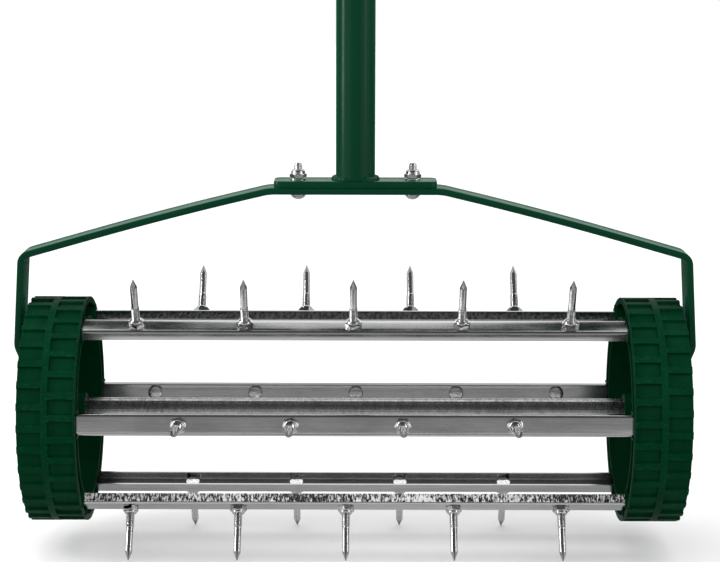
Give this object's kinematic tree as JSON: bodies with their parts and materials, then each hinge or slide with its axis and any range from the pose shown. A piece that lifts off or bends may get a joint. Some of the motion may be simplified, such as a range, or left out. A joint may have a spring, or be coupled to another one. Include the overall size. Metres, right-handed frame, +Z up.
{
  "type": "rolling lawn aerator",
  "caption": "Hand-pushed rolling lawn aerator: a drum of pointed spikes on zinc-plated rails between two ribbed green wheels, in a forked T handle.",
  "frame": {"origin": "on the floor, midway between the wheels and straight below the axle", "axes": "+X along the drum, towards the right wheel; +Y from the front to the rear; +Z up along the handle"},
  "size_m": [0.5102, 0.2374, 1.0022],
  "materials": {
    "green_paint": "satin powder coat",
    "green_plastic": "satin moulded",
    "rail_zinc": "zinc plated",
    "tube_zinc": "zinc plated",
    "bright_zinc": "bright zinc plated",
    "grip_rubber": "matte",
    "bush_plastic": "matte"
  },
  "bodies": {
    "frame": {"fork_bar": "green_paint", "handle_plate": "green_paint", "plate_weld": "green_paint", "lower_tube": "green_paint", "upper_tube": "green_paint", "tube_bolts": "bright_zinc", "tube_nuts": "bright_zinc", "crossbar": "green_paint", "crossbar_weld": "green_paint", "left_grip": "grip_rubber", "right_grip": "grip_rubber", "fork_bolts": "bright_zinc", "fork_washers": "bright_zinc", "fork_nuts": "bright_zinc", "axle_rod": "bright_zinc", "axle_washers": "bright_zinc", "axle_nuts": "bright_zinc", "thrust_washers": "bright_zinc"},
    "drum": {"left_wheel": "green_plastic", "right_wheel": "green_plastic", "left_bush": "bush_plastic", "right_bush": "bush_plastic", "spacer_tube": "tube_zinc", "rail_1": "rail_zinc", "rail_2": "rail_zinc", "rail_3": "rail_zinc", "rail_4": "rail_zinc", "rail_5": "rail_zinc", "rail_6": "rail_zinc", "spikes_1": "bright_zinc", "spikes_2": "bright_zinc", "spikes_3": "bright_zinc", "spikes_4": "bright_zinc", "spikes_5": "bright_zinc", "spikes_6": "bright_zinc", "spike_nuts_1": "bright_zinc", "spike_nuts_2": "bright_zinc", "spike_nuts_3": "bright_zinc", "spike_nuts_4": "bright_zinc", "spike_nuts_5": "bright_zinc", "spike_nuts_6": "bright_zinc"}
  },
  "joints": [
    {"name": "drum_roll", "type": "hinge", "parent": "frame", "child": "drum", "pos_m": [0, 0, 0.10696], "axis": [1, 0, 0], "continuous": true}
  ]
}
